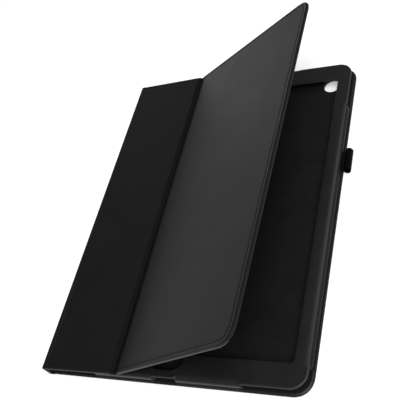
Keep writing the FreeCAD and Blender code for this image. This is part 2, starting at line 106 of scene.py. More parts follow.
def on_wide(u, y, w):
    """The wide panel: its raise grows evenly from the top end to the bottom end."""
    share = (HALF_LENGTH - y) / (2 * HALF_LENGTH)
    return turned(CREASE_X, CREASE_Z, WIDE_RAISE + WIDE_TWIST * share, u, y, w)


def out_of(place):
    """The direction out of a panel's outer face, at its middle."""
    two = place(np.array([40.0, 40.0]), np.zeros(2), np.array([0.0, 1.0]))
    return two[1] - two[0]


print("the crease lies at x", round(CREASE_X, 2), "z", round(CREASE_Z, 2))

# %% [markdown]
# ## From a grid of points to a mesh
# Every new piece is a function of two parameters, worked out as whole arrays. A grid of points then only
# needs its faces, and those come from the vertex numbers by slicing. At the end a piece has its doubled
# points merged, so that seams and poles close, and its faces turned outwards.

# %% Faces from the points' numbers


def numbered(points, closed=False):
    """The vertex numbers of a grid of points; closed repeats the first row after the last."""
    number = np.arange(points[..., 0].size).reshape(points.shape[:2])
    return np.vstack([number, number[:1]]) if closed else number


def border_of(number):
    """The vertex numbers along a grid's border, once round."""
    return np.concatenate([number[0], number[1:, -1], number[-1, -2::-1], number[-2:0:-1, 0]])


def quads(index, wrap=False):
    """Four-cornered faces between the rows and columns of a grid of vertex numbers."""
    if wrap:
        index = np.hstack([index, index[:, :1]])
    corners = (index[:-1, :-1], index[:-1, 1:], index[1:, 1:], index[1:, :-1])
    return np.stack(corners, axis=-1).reshape(-1, 4)


# %% From faces to a piece


def tidy(mesh, turn_outwards=True):
    """Merge doubled points, drop faces without area, and turn all faces outwards.

    An open sheet keeps the side that its drawing gives it, so there the last step is left out.
    """
    work = bmesh.new()
    work.from_mesh(mesh)
    bmesh.ops.remove_doubles(work, verts=work.verts, dist=2e-6)
    bmesh.ops.dissolve_degenerate(work, edges=work.edges, dist=1e-6)
    if turn_outwards:
        bmesh.ops.recalc_face_normals(work, faces=work.faces)
    work.to_mesh(mesh)
    work.free()
    mesh.shade_smooth()
    return mesh


def make_piece(name, points, faces, uv=None, marks=None, caps=()):
    """A piece from points in millimetres, faces, and if wanted UVs in metres and named values per point."""
    mesh = bpy.data.meshes.new(name)
    points = points.reshape(-1, 3)
    mesh.from_pydata((points * MM).tolist(), [], faces.tolist() + [list(cap) for cap in caps])
    if uv is not None:
        layer = mesh.uv_layers.new(name="UVMap")
        corner = np.empty(len(mesh.loops), np.int32)
        mesh.loops.foreach_get("vertex_index", corner)
        layer.data.foreach_set("uv", uv.reshape(-1, 2)[corner].astype(np.float32).ravel())
    for mark, values in (marks or {}).items():
        mesh.attributes.new(mark, "FLOAT", "POINT").data.foreach_set(
            "value", np.asarray(values, np.float32).ravel()
        )
    piece = bpy.data.objects.new(name, mesh)
    bpy.context.scene.collection.objects.link(piece)
    return piece


def closed_piece(name, points, faces, **extras):
    """A piece whose drawing closes on itself, tidied at once."""
    piece = make_piece(name, points, faces, **extras)
    tidy(piece.data)
    return piece


# %% Thickness


def settle(piece):
    """Apply the piece's modifiers to its mesh, and tidy the result."""
    bpy.context.view_layer.update()
    graph = bpy.context.evaluated_depsgraph_get()
    mesh = bpy.data.meshes.new_from_object(piece.evaluated_get(graph))
    piece.modifiers.clear()
    piece.data = tidy(mesh)
    mesh.name = piece.name
    return piece


def thicken(piece, thickness):
    """Give an open surface its thickness, inwards from the drawn side. Its doubles are merged first."""
    tidy(piece.data, turn_outwards=False)
    solid = piece.modifiers.new("thickness", "SOLIDIFY")
    solid.thickness = thickness * MM
    solid.offset = -1
    solid.use_even_offset = False
    return settle(piece)


# %% A piece's finish, body and CAD nodes


def painted_shade_faces(mesh):
    """True for each face whose corners all carry the painted-shade mark."""
    marks = np.empty(len(mesh.vertices), np.float32)
    mesh.attributes["painted_shade"].data.foreach_get("value", marks)
    corner = np.empty(len(mesh.loops), np.int32)
    mesh.loops.foreach_get("vertex_index", corner)
    start = np.empty(len(mesh.polygons), np.int32)
    mesh.polygons.foreach_get("loop_start", start)
    return np.minimum.reduceat(marks[corner], start) > 0.5


def finish_piece(piece, body, slot, material, *nodes, painted_shade=None):
    """Give a piece its body when body is a name (else only bake its place), its finish, and hide the CAD
    nodes that it stands for.

    A second finish, a darker and duller copy that paints shade, goes on the faces that carry the
    painted-shade mark.
    """
    piece.data.materials.clear()
    piece.data.materials.append(material)
    if painted_shade is not None:
        piece.data.materials.append(painted_shade)
        piece.data.polygons.foreach_set("material_index", painted_shade_faces(piece.data).astype(np.int32))
    if nodes:
        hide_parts(*nodes)
    if isinstance(body, str):
        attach(piece, body)
    else:
        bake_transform(piece)
    print(piece.name, "faces:", len(piece.data.polygons))
    return piece


# %% [markdown]
# ## Finishes
# The leather is a coated cloth: very dark, satin, with a fine embossed grain. The grain is three layers of
# bump on Object coordinates: cells about 0.9 mm across, a finer noise on them, and a softer unevenness of
# some millimetres. Where a piece carries the value named edge, the coating is a little lighter. Where it
# carries the groove's mark, in a seam's groove, the colour is darkened: painted shade in the groove. Some
# faces take darker, duller copies of the leather, which paint shade: on the wide panel its right side strip,
# its strip by the crease and its seam's groove; on the narrow panel its strip by the crease and its seams'
# grooves; the whole crease; and the wall by the stylus loop, as if those lay in shadow. They have finishes of
# their own.

# %% Node helpers


def new_material(name):
    """An empty node material, its node tree and its main shader."""
    material = bpy.data.materials.new(name)
    material.use_nodes = True
    tree = material.node_tree
    return material, tree, tree.nodes["Principled BSDF"]


def fill(tree, node, **inputs):
    """Fill a node's inputs with numbers or links. i0 stands for input 0, and an underscore for a space."""
    for key, source in inputs.items():
        socket = node.inputs[int(key[1:]) if key[1:].isdigit() else key.replace("_", " ")]
        if isinstance(source, bpy.types.NodeSocket):
            tree.links.new(source, socket)
        else:
            socket.default_value = source
    return node


def add(tree, kind, settings=(), **inputs):
    """Add a node, set its properties, and fill its inputs."""
    node = tree.nodes.new(kind)
    for key, setting in dict(settings).items():
        setattr(node, key, setting)
    return fill(tree, node, **inputs)


def coordinates(tree, space="Object"):
    """The place on the piece, in its own axes or on its UV map."""
    return add(tree, "ShaderNodeTexCoord").outputs[space]


def stretched(tree, coords, scale):
    """The same coordinates scaled along each axis."""
    return add(tree, "ShaderNodeMapping", Vector=coords, Scale=scale).outputs["Vector"]


def grey(value):
    """A grey of that lightness."""
    return (value, value, value, 1.0)


def noise(tree, coords, cell, detail=3.0, roughness=0.5):
    """Smooth noise whose lumps are about cell millimetres across."""
    return add(tree, "ShaderNodeTexNoise", Vector=coords, Scale=1000 / cell, Detail=detail,
               Roughness=roughness).outputs["Fac"]


def ridges(tree, coords, axis, scale):
    """Even waves across one axis."""
    return add(tree, "ShaderNodeTexWave", {"bands_direction": axis}, Vector=coords,
               Scale=scale).outputs["Fac"]


def ramp(tree, value, low, high, from_low=0.3, from_high=0.7):
    """Carry a value from one range to another, and hold it at the ends."""
    return add(tree, "ShaderNodeMapRange", i0=value, i1=from_low, i2=from_high, i3=low, i4=high).outputs[0]


def mix(tree, share, first, second):
    """Mix two colours by a share."""
    return add(tree, "ShaderNodeMix", {"data_type": "RGBA"}, i0=share, i6=first, i7=second).outputs[2]


def bump(tree, height, depth, **below):
    """Turn a height from 0 to 1 into relief, depth millimetres deep, over an earlier relief, Normal."""
    return add(tree, "ShaderNodeBump", Height=height, Distance=depth * MM, Strength=1.0,
               **below).outputs["Normal"]


# %% The black leather
def leather_finish(name, lightness, rough, grain_depth=0.016, gloss=0.4):
    """Coated cloth with an embossed grain; lightness is its base reflectance, and duller copies of it, which
    render darker, paint shade.
    """
    material, tree, shader = new_material(name)
    coords = coordinates(tree)
    cells = add(tree, "ShaderNodeTexVoronoi", {"feature": "SMOOTH_F1"}, Vector=coords, Scale=1000 / 0.9,
                Smoothness=0.35).outputs["Distance"]
    soft = bump(tree, noise(tree, coords, 5.0, 2.0), 0.006)
    grain = bump(tree, cells, grain_depth, Normal=soft)
    relief = bump(tree, noise(tree, coords, 0.35, 2.0), grain_depth * 0.4, Normal=grain)
    cloud = noise(tree, coords, 22.0)
    edge, painted_groove_shade = [add(tree, "ShaderNodeAttribute", {"attribute_name": mark}).outputs["Fac"]
                     for mark in ("edge", "painted_groove_shade")]
    base = mix(tree, ramp(tree, cloud, 0.0, 1.0), grey(lightness * 0.9), grey(lightness * 1.1))
    # The colour is lighter towards the edges, by the value named edge.
    lighter_at_edges = mix(tree, edge, base, grey(lightness * 2.2))
    # In the seam's groove the colour is darkened to a third: painted shade in the groove.
    fill(tree, shader, Base_Color=mix(tree, painted_groove_shade, lighter_at_edges, grey(lightness * 0.35)), Normal=relief,
         Roughness=ramp(tree, cloud, rough - 0.02, rough + 0.02), Specular_IOR_Level=gloss)
    return material


# %% The lining, the thread and the elastic
def lining_finish():
    """Microfibre: a dark cloth with a short nap that catches light at a slant."""
    material, tree, shader = new_material("black_microfibre")
    coords = coordinates(tree)
    nap = noise(tree, coords, 0.5, 4.0, 0.7)
    brushed = noise(tree, coords, 14.0, 4.0, 0.6)
    fill(tree, shader, Base_Color=mix(tree, ramp(tree, brushed, 0.0, 1.0), grey(0.008), grey(0.011)),
         Normal=bump(tree, nap, 0.05, Normal=bump(tree, brushed, 0.03)), Roughness=0.85,
         Specular_IOR_Level=0.08, Sheen_Weight=0.02, Sheen_Roughness=0.4)
    return material


def thread_finish():
    """Twisted thread: fine slanted ridges across each stitch, on its own UV map."""
    material, tree, shader = new_material("black_thread")
    slanted = add(tree, "ShaderNodeMapping", Vector=coordinates(tree, "UV"),
                  Rotation=(0.0, 0.0, 0.6)).outputs["Vector"]
    twist = ridges(tree, slanted, "X", 1000 / 6.0)
    fill(tree, shader, Base_Color=mix(tree, twist, grey(0.008), grey(0.026)),
         Normal=bump(tree, twist, 0.05), Roughness=0.45)
    return material


def elastic_finish():
    """Woven elastic: ribs along the band crossed by fine weft, on the piece's own UV map."""
    material, tree, shader = new_material("black_elastic")
    uv = coordinates(tree, "UV")
    ribs, weft = ridges(tree, uv, "Y", 1000 / 22.0), ridges(tree, uv, "X", 1000 / 14.0)
    weave = add(tree, "ShaderNodeMath", {"operation": "MULTIPLY"}, i0=ribs, i1=weft).outputs[0]
    fill(tree, shader, Base_Color=mix(tree, weave, grey(0.0006), grey(0.003)),
         Normal=bump(tree, weave, 0.10), Roughness=0.7, Specular_IOR_Level=0.06)
    return material


# %% The hidden layers: board, foam and magnet
def board_finish():
    """Pressed fibre board: brown, with short darker fibres."""
    material, tree, shader = new_material("fibre_board")
    fibres = noise(tree, stretched(tree, coordinates(tree), (1.0, 0.25, 1.0)), 0.8, 5.0, 0.7)
    colour = mix(tree, ramp(tree, fibres, 0.0, 1.0), (0.16, 0.12, 0.08, 1), (0.34, 0.27, 0.19, 1))
    fill(tree, shader, Base_Color=colour, Normal=bump(tree, fibres, 0.05), Roughness=0.9)
    return material


def foam_finish():
    """Closed-cell foam: dark, with small round cells."""
    material, tree, shader = new_material("dark_foam")
    cells = add(tree, "ShaderNodeTexVoronoi", Vector=coordinates(tree), Scale=1000 / 0.7).outputs["Distance"]
    fill(tree, shader, Base_Color=mix(tree, cells, grey(0.02), grey(0.05)),
         Normal=bump(tree, cells, 0.15), Roughness=0.9)
    return material


def magnet_finish():
    """Nickel plate with faint brushing along the bar."""
    material, tree, shader = new_material("nickel_plate")
    lines = noise(tree, stretched(tree, coordinates(tree), (1.0, 0.05, 1.0)), 0.2, 2.0)
    fill(tree, shader, Base_Color=mix(tree, lines, (0.5, 0.49, 0.46, 1), (0.72, 0.70, 0.66, 1)),
         Roughness=ramp(tree, lines, 0.2, 0.4), Metallic=1.0)
    return material


COVER_LEATHER = leather_finish("black_leather", 0.0044, 0.46, gloss=0.35)
FRAME_LEATHER = leather_finish("black_leather_frame", 0.0110, 0.42, 0.012, 0.36)
# A duller copy that renders darker, for the wide panel's right side strip, its strip by the crease and its
# seam's groove: painted shade.
WIDE_PAINTED_SHADE = leather_finish("black_leather_wide_painted_shade", 0.0046, 0.6, 0.020, 0.15)
# A darker, duller copy for the crease and the narrow panel's grooves: painted shade.
CREASE_PAINTED_SHADE = leather_finish("black_leather_crease_painted_shade", 0.0036, 0.55, 0.016, 0.08)
# A darker, duller copy of the frame leather for the wall by the stylus loop: painted shade on that side.
WALL_PAINTED_SHADE = leather_finish("black_leather_wall_painted_shade", 0.0070, 0.55, 0.014, 0.10)
LINING = lining_finish()
THREAD = thread_finish()
ELASTIC = elastic_finish()
BOARD = board_finish()
FOAM = foam_finish()
MAGNET = magnet_finish()
print("finishes:", [m.name for m in bpy.data.materials])

# %% [markdown]
# ## A board covered in leather
# A panel is a grid of lines that crowd together near its edges, where the leather bends. At a rounded
# corner the square grid is carried round: each L-shaped line at a distance d from the edges becomes the
# outline's parallel curve at the same distance, by its share of the length. So the seam, which lies at one
# distance, runs round the corner by itself.

# %% Grid lines and round corners
EDGE_STEPS = np.array([0, 0.12, 0.3, 0.55, 0.85, 1.2, 1.7, 2.3, 2.9, 3.3, 3.5, 3.65, 3.8, 3.95, 4.1, 4.3,
                       4.8, 7.0])
CORNER_RUN = 5.0


def grid_lines(low, high, step=5.0, edge=EDGE_STEPS):
    """Places of grid lines: close together at both ends, and a step apart between."""
    edge = edge[edge < 0.45 * (high - low)]
    count = max(2, int(np.ceil((high - low - 2 * edge[-1]) / step)))
    middle = np.linspace(low + edge[-1], high - edge[-1], count + 1)[1:-1]
    return np.concatenate([low + edge, middle, (high - edge)[::-1]])


def round_corner(u, y, right, half, radii):
    """Carry a square grid's two right corners round, each L-shaped line to its parallel curve.

    The two radii are the low end's and the high end's; with no radii the grid stays square. A corner
    takes in its arc and CORNER_RUN of the straight edge on either side.
    """
    if not radii:
        return u, y
    radius = np.where(y < 0, radii[0], radii[1])
    reach = radius + CORNER_RUN
    a = right - u
    b = half - np.abs(y)
    near = (a < reach) & (b < reach)
    d = np.minimum(a, b)
    whole = 2 * (reach - d)
    gone = np.where(b <= a, reach - a, (reach - d) + (b - d))
    share = np.where(near, gone / np.maximum(whole, 1e-9), 0.0)
    bend = np.maximum(radius - d, 0.0)
    straight = reach - d - bend
    arc = bend * np.pi / 2
    far = share * (2 * straight + arc)
    angle = np.clip((far - straight) / np.maximum(bend, 1e-9), 0, np.pi / 2)
    past = np.maximum(far - straight - arc, 0.0)
    new_a = np.where(far < straight, reach - far, d + bend * (1 - np.sin(angle)))
    new_b = np.where(far < straight, d, d + bend * (1 - np.cos(angle)) + past)
    return np.where(near, right - new_a, u), np.where(near, np.sign(y) * (half - new_b), y)


def rounding(d, width, depth):
    """How far a face sinks at a distance d from an edge: a quarter ellipse, width by depth."""
    return depth * (1 - np.sqrt(1 - (1 - np.clip(d / width, 0, 1)) ** 2))


def waves(u, y, height):
    """A few long, slow waves: no leather lies dead flat on its board."""
    return height * (np.sin(u / 23 + y / 41 + 1.3) + np.sin(u / 37 - y / 29) + np.sin(y / 53 + 0.7)) / 3


# %% The leather of a panel
LEATHER_THICK = 0.6
EDGE_BEND = 1.2
# The fourth value is how far either side of the seam's line the groove's painted shade reaches.
SEAM_IN, GROOVE_DEPTH, GROOVE_WIDTH, GROOVE_SHADE_REACH = 3.8, 0.32, 0.42, 0.52
BEAD_IN, BEAD_HEIGHT, BEAD_WIDTH = 2.0, 0.10, 0.9
TURNED_ROWS = [(0.0, 0.54), (0.10, 0.42), (0.35, 0.29), (0.8, 0.16), (1.4, 0.06), (2.0, 0.01)]


def covered_board(name, place, span, half, thickness, top, corner=None, ends_only=False, folds=None,
                  turn_in=2.4, wave=0.10, painted=0.0):
    """Leather drawn over a board: z = top - edge rounding - seam groove + waves, then down and under.

    Beside a fold it sinks along half a cosine wave: folds gives each such side its width and depth, and the
    width of its strip of painted shade. The right side carries painted shade too, within the painted width,
    and so does the seam's groove; those faces take a darker, duller copy of the leather. The rows of the
    turned-in strip follow the grid's own border, each moved in by its distance, at its share of the thickness
    above the underside.
    """
    left, right = span
    us, ys = grid_lines(left, right), grid_lines(-half, half)
    u, y = np.meshgrid(us, ys)
    to_left, to_right, to_end = u - left, right - u, half - np.abs(y)
    d = to_end if ends_only else np.minimum(to_end, to_right)
    sink = rounding(d, EDGE_BEND, thickness * 0.40)
    # Painted shade: the strip along the right side, away from the light, and the seam's groove take the
    # darker copy of the leather.
    painted_shade = (to_right < painted) | (np.abs(d - SEAM_IN) < GROOVE_SHADE_REACH)
    for side, (width, depth, strip) in (folds or {}).items():
        from_fold = to_left if side == "left" else to_right
        slope = 0.5 + 0.5 * np.cos(np.pi * np.clip(from_fold / width, 0, 1))
        sink = np.hypot(sink, depth * slope)
        painted_shade = painted_shade | (from_fold < strip)
    groove = np.exp(-(((d - SEAM_IN) / GROOVE_WIDTH) ** 2))
    bead = BEAD_HEIGHT * np.exp(-(((d - BEAD_IN) / BEAD_WIDTH) ** 2))
    inside = np.clip((d - 6) / 20, 0, 1)
    w = top - sink - GROOVE_DEPTH * groove + bead + waves(u, y, wave) * inside
    face = place(*round_corner(u, y, right, half, corner), w)
    number = numbered(face)
    border = border_of(number)
    bu, by, bw = u.ravel()[border], y.ravel()[border], w.ravel()[border]
    rows = []
    for inset, above in TURNED_ROWS + [(turn_in, 0.02)]:
        iu = np.clip(bu, left + inset, right - inset)
        iy = np.clip(by, -half + inset, half - inset)
        height = np.minimum(top - thickness + above * thickness, bw - 0.05)
        rows.append(place(*round_corner(iu, iy, right, half, corner), height))
    points = np.concatenate([face.reshape(-1, 3)] + rows)
    under = number.size + np.arange(len(rows) * border.size).reshape(len(rows), -1)
    faces = np.concatenate([quads(number), quads(np.vstack([border, under]), wrap=True)[:, ::-1]])
    a, b, c = points[faces[us.size // 2][:3]]
    if np.dot(np.cross(b - a, c - a), out_of(place)) < 0:
        faces = faces[:, ::-1]
    blank = np.zeros(under.size)
    # The groove's mark darkens the colour there, as painted shade; the last mark picks the faces that take
    # the darker copy.
    marks = {
        "edge": np.concatenate([0.6 * np.exp(-((d / 1.3) ** 2)).ravel(), blank]),
        "painted_groove_shade": np.concatenate([0.8 * groove.ravel(), blank]),
        "painted_shade": np.concatenate([painted_shade.ravel()] + [painted_shade.ravel()[border]] * len(rows)),
    }
    return thicken(make_piece(name, points, faces, marks=marks), LEATHER_THICK)


# %% [markdown]
# ## A closed plate
# Linings, boards, magnets and small tabs are closed plates: two faces on one grid that meet round the
# border. Their edges are rounded by letting both faces come together as the distance to the edge shrinks.

# %% The closed plate


def plate(name, place, span, half, low, high, corner=None, edge=0.3, wave=0.0, step=6.0, centre=0.0):
    """Two faces, z = low + s and high - s, where s is the edge rounding, joined round the border."""
    left, right = span
    steps = np.array([0, 0.1, 0.3, 0.65, 1.0]) * edge
    u, y = np.meshgrid(grid_lines(left, right, step, steps), grid_lines(-half, half, step, steps))
    d = np.minimum.reduce([u - left, right - u, half - np.abs(y)])
    sink = rounding(d, edge, min(edge, (high - low) * 0.45))
    swell = waves(u, y, wave) * np.clip(d / 12, 0, 1)
    ru, ry = round_corner(u, y, right, half, corner)
    upper = place(ru, ry + centre, high - sink + swell)
    lower = place(ru, ry + centre, low + sink)
    number = numbered(upper)
    border = border_of(number)
    rim = np.vstack([border + number.size, border])
    faces = np.concatenate([quads(number), quads(number)[:, ::-1] + number.size, quads(rim, wrap=True)])
    uv = np.stack([u * MM, y * MM], axis=-1).reshape(-1, 2)
    points = np.concatenate([upper.reshape(-1, 3), lower.reshape(-1, 3)])
    return closed_piece(name, points, faces, uv=np.concatenate([uv, uv]))


# %% [markdown]
# ## Sewing
# A seam is a row of single stitches. One stitch is a short spindle that dips into the leather at both
# ends. All of them are one array: the spindle's points times the places along the seam.

# %% The stitches


def along(path, pitch):
    """Places a pitch apart along a line of points, with the direction there."""
    lengths = np.linalg.norm(np.diff(path, axis=0), axis=1)
    gone = np.concatenate([[0], np.cumsum(lengths)])
    count = int(gone[-1] / pitch)
    at = (np.arange(count) + 0.5) * gone[-1] / count
    behind, spot, ahead = [
        np.stack([np.interp(at + shift, gone, path[:, k]) for k in range(3)], axis=-1)
        for shift in (-0.5, 0.0, 0.5)
    ]
    way = ahead - behind
    return spot, way / np.linalg.norm(way, axis=1, keepdims=True)


def sew(name, seams, pitch=3.4, length=2.7, thick=0.42, slant=0.10):
    """Stitches along seams, each a (line of points, outward direction) pair.

    Point = spot + way * x + side * (thick/2 cos a + slant x) + out * (thick/2 sin a + arch(x)), where the
    arch stands 0.22 of the thread's thickness proud in the middle, and dips by 0.20 of it at the ends.
    """
    x = np.linspace(-1, 1, 7)
    girth = np.sqrt(np.clip(1 - x**4, 0, 1))
    angle = np.arange(6) * np.pi / 3
    all_points, all_faces, all_uv, start = [], [], [], 0
    for path, out in seams:
        spot, way = along(path, pitch)
        out = np.broadcast_to(np.asarray(out, float), spot.shape)
        side = np.cross(out, way)
        side /= np.linalg.norm(side, axis=1, keepdims=True)
        run = (x * length / 2)[:, None]
        across = thick / 2 * girth[:, None] * np.cos(angle) + slant * run
        height = thick / 2 * girth[:, None] * np.sin(angle) + (0.22 - 0.42 * x**2)[:, None] * thick
        points = (
            spot[:, None, None] + way[:, None, None] * (run + 0 * angle)[None, :, :, None]
            + side[:, None, None] * across[None, :, :, None] + out[:, None, None] * height[None, :, :, None]
        )
        one = quads(np.arange(x.size * angle.size).reshape(x.size, -1), wrap=True)
        first = start + np.arange(len(spot)) * x.size * angle.size
        all_faces.append((first[:, None, None] + one).reshape(-1, 4))
        all_points.append(points.reshape(-1, 3))
        u, v = np.broadcast_arrays((run + 0 * angle)[None] * MM, (angle * thick / 2 * MM)[None, None])
        all_uv.append(np.broadcast_to(np.stack([u, v], -1), points.shape[:3] + (2,)).reshape(-1, 2))
        start += points[..., 0].size
    return closed_piece(name, np.concatenate(all_points), np.concatenate(all_faces),
                        uv=np.concatenate(all_uv))


def seam_line(place, span, half, corner, inset, w, ends_only=False):
    """The line of a seam at one distance from a panel's turned edges, as points in place."""
    left, right = span
    if ends_only:
        u = np.linspace(left, right, 40)
        return [place(u, 0 * u + side * (half - inset), w) for side in (-1, 1)]
    run = np.linspace(left, right - inset, 200)
    rise = np.linspace(-half + inset, half - inset, 400)[1:-1]
    u = np.concatenate([run, 0 * rise + right - inset, run[::-1]])
    y = np.concatenate([0 * run - half + inset, rise, 0 * run + half - inset])
    ru, ry = round_corner(u, y, right, half, corner)
    return [place(ru, ry, w)]


# %% [markdown]
# ## The cover
# The narrow panel is sewn at its two ends only, because its long sides run on into the folds. The wide panel
# is sewn round its three free edges, and its free corners are round. The narrow panel's leather sinks softly
# at the crease, and a darker, duller copy of the leather there paints the shade that makes the dark band
# beside the crease.

# %% The narrow panel
NARROW_SPAN = (2.1, 74.0)
NARROW_TOP = 1.5
PANEL_THICK = 3.3
LINING_HALF = 157.95
BOARD_HALF = 159.2

# The narrow panel's strip by the crease and its seams' grooves take the crease's darker, duller copy of the
# leather: painted shade.
narrow = covered_board("narrow_leather", on_narrow, NARROW_SPAN, HALF_LENGTH, PANEL_THICK, NARROW_TOP,
                       ends_only=True, folds={"left": (0.6, 0.03, 0.0), "right": (4.6, 1.45, 4.2)})
finish_piece(narrow, "narrow_cover", "leather", COVER_LEATHER, "narrow_skin", painted_shade=CREASE_PAINTED_SHADE)

narrow_cloth = plate("narrow_lining_cloth", on_narrow, (4.15, 71.95), LINING_HALF, -1.72, -1.1, wave=0.05)
finish_piece(narrow_cloth, "narrow_cover", "lining", LINING, "narrow_lining")

narrow_board = plate("narrow_board_sheet", on_narrow, (2.8, 69.6), BOARD_HALF, -1.05, 0.75, edge=0.2)
finish_piece(narrow_board, "narrow_cover", "board", BOARD, "narrow_board")

SEAM_DEPTH = 0.3
narrow_seams = seam_line(on_narrow, NARROW_SPAN, HALF_LENGTH, None, SEAM_IN, NARROW_TOP - SEAM_DEPTH,
                         ends_only=True)
sewn = sew("narrow_stitches", [(line, out_of(on_narrow)) for line in narrow_seams])
finish_piece(sewn, "narrow_cover", "thread", THREAD, "narrow_thread")

# %% The wide panel
WIDE_SPAN = (1.5, 154.5)
WIDE_TOP = -0.2
WIDE_CORNER = (14.0, 12.5)

# Its right side strip, 1.9 wide, its strip by the crease and its seam's groove take the darker copy: painted
# shade, that side lying away from the light.
wide = covered_board("wide_leather", on_wide, WIDE_SPAN, HALF_LENGTH, PANEL_THICK, WIDE_TOP,
                     corner=WIDE_CORNER, folds={"left": (0.6, 0.03, 1.4)}, painted=1.9)
finish_piece(wide, "wide_cover", "leather", COVER_LEATHER, "wide_skin", painted_shade=WIDE_PAINTED_SHADE)

wide_cloth = plate("wide_lining_cloth", on_wide, (3.55, 152.45), LINING_HALF, -3.42, -2.8,
                   corner=(12.0, 10.5), wave=0.05)
finish_piece(wide_cloth, "wide_cover", "lining", LINING, "wide_lining")

wide_board = plate("wide_board_sheet", on_wide, (4.6, 153.8), BOARD_HALF, -2.75, -0.95,
                   corner=(13.3, 11.8), edge=0.2)
finish_piece(wide_board, "wide_cover", "board", BOARD, "wide_board")

wide_seams = seam_line(on_wide, WIDE_SPAN, HALF_LENGTH, WIDE_CORNER, SEAM_IN, WIDE_TOP - SEAM_DEPTH)
sewn = sew("wide_stitches", [(line, out_of(on_wide)) for line in wide_seams])
finish_piece(sewn, "wide_cover", "thread", THREAD, "wide_thread")

# %% The magnets in the wide panel
bars = [plate(f"magnet_{end}", on_wide, (140.0, 145.0), 10.0, -2.45, -1.25, edge=0.2, centre=centre)
        for end, centre in (("low", -45.0), ("high", 45.0))]
with bpy.context.temp_override(active_object=bars[0], selected_editable_objects=bars):
    bpy.ops.object.join()
bars[0].name = "wake_magnet_bars"
finish_piece(bars[0], "wide_cover", "magnet", MAGNET, "wake_magnets")

# %% [markdown]
# ## The soft folds
# One sheet of leather runs over the whole case. Between the boards it is free to bend: at the back's edge, at
# the spine's other edge, and at the crease. Each is a strip carried along the case.

# %% A strip of leather carried along the case


def fold_strip(name, section, place, half, end_drop=1.3):
    """Carry a section (u, w) along y. The strip's ends sink a little, as the turned edges beside them do.

    The section runs so that its outward direction is (-dw, du).
    """
    u, w = np.asarray(section, float).T
    way = np.gradient(np.stack([u, w], -1), axis=0)
    normal = np.stack([-way[:, 1], way[:, 0]], -1)
    normal /= np.linalg.norm(normal, axis=1, keepdims=True)
    ys = grid_lines(-half, half, 8.0, EDGE_STEPS[:9])
    drop = rounding(half - np.abs(ys), EDGE_BEND, end_drop)[:, None]
    points = place(u - normal[:, 0] * drop, ys[:, None], w - normal[:, 1] * drop)
    return thicken(make_piece(name, points, quads(numbered(points))), LEATHER_THICK)


# %% The spine's two folds
FOLD_RADIUS = 1.5
turn = np.linspace(0, 1, 13)
angle = np.radians(270 - 90 * turn)
back_section = np.concatenate([
    [(FOLD_X + 3.4, 0.05), (FOLD_X + 2.8, -0.02)],
    np.stack([FOLD_X + FOLD_RADIUS * np.cos(angle), BACK_FOLD_Z + FOLD_RADIUS * np.sin(angle)], -1),
    [(SPINE_OUTER - 0.02, 2.2), (SPINE_OUTER + 0.05, 2.8)],
])
back_fold = fold_strip("back_fold_leather", back_section, on_case, 159.7)
finish_piece(back_fold, ("back", "spine", (-0.1124, 0, 0.0), (-0.116, 0, 0.0022)), "leather",
             COVER_LEATHER, "back_fold")

angle = np.radians(182.2 - 92.2 * turn)
front_section = np.concatenate([
    [(-1.42, -1.3), (-1.51, -0.7)],
    np.stack([FOLD_RADIUS * np.cos(angle), FOLD_RADIUS * np.sin(angle)], -1),
    [(2.6, 1.53), (3.2, 1.46)],
])
front_fold = fold_strip("front_fold_leather", front_section, on_narrow, HALF_LENGTH, end_drop=0.8)
finish_piece(front_fold, ("spine", "narrow_cover", (-0.116, 0, 0.0126), (-0.1118, 0, 0.0148)), "leather",
             COVER_LEATHER, "front_fold")

# %% The crease
bend_up = WIDE_RAISE + WIDE_TWIST / 2 - NARROW_TILT


def wide_in_narrow(p, q):
    """A point of the wide panel's section, in the narrow panel's own frame."""
    u = CREASE_U + p * np.cos(bend_up) - q * np.sin(bend_up)
    w = CREASE_W + p * np.sin(bend_up) + q * np.cos(bend_up)
    return u, w


narrow_side = [(73.0, 0.20), (73.5, 0.08), (73.9, 0.05), (74.3, 0.14)]
wide_side = [(-0.7, -0.62), (-0.2, -0.36), (0.5, -0.22), (1.3, -0.18), (2.4, -0.18), (3.2, -0.24)]
crease_section = narrow_side + [wide_in_narrow(p, q) for p, q in wide_side]
# The crease strip takes that darker, duller copy throughout: painted shade in the valley.
crease = fold_strip("crease_leather", crease_section, on_narrow, HALF_LENGTH - 0.1, end_drop=1.0)
crease_start = tuple(on_narrow(73.4, 0, 0.6) * MM)
crease_end = tuple(on_wide(2.0, np.array(0.0), -1.0) * MM)
finish_piece(crease, ("narrow_cover", "wide_cover", crease_start, crease_end), "leather", CREASE_PAINTED_SHADE,
             "crease_fold")

# %% The spine
spine = covered_board("spine_leather", on_spine, (1.55, 13.25), HALF_LENGTH, 2.2, 0.0, ends_only=True,
                      folds={"left": (0.6, 0.03, 0.0), "right": (0.6, 0.03, 0.0)}, turn_in=2.2, wave=0.0)
finish_piece(spine, "spine", "leather", COVER_LEATHER, "spine_skin")

spine_cloth = plate("spine_lining_cloth", on_spine, (3.3, 11.5), LINING_HALF, -2.15, -1.7)
finish_piece(spine_cloth, "spine", "lining", LINING, "spine_lining")

spine_sheet = plate("spine_board_sheet", on_spine, (2.7, 12.1), 159.0, -1.45, -0.7, edge=0.2)
finish_piece(spine_sheet, "spine", "board", BOARD, "spine_board")

# %% [markdown]
# ## The back
# The back's outer face lies on the table. It has a hole for the camera, and a shallow bed where the lip
# that holds the stand lies flush. Both are cut with a boolean, because a grid with a hole in it would have
# to be bent round that hole for no gain. A ring of leather lines the camera's hole.

# %% Cutting tools
CAMERA = (96.1, 138.65)
CAMERA_RADIUS = 8.0


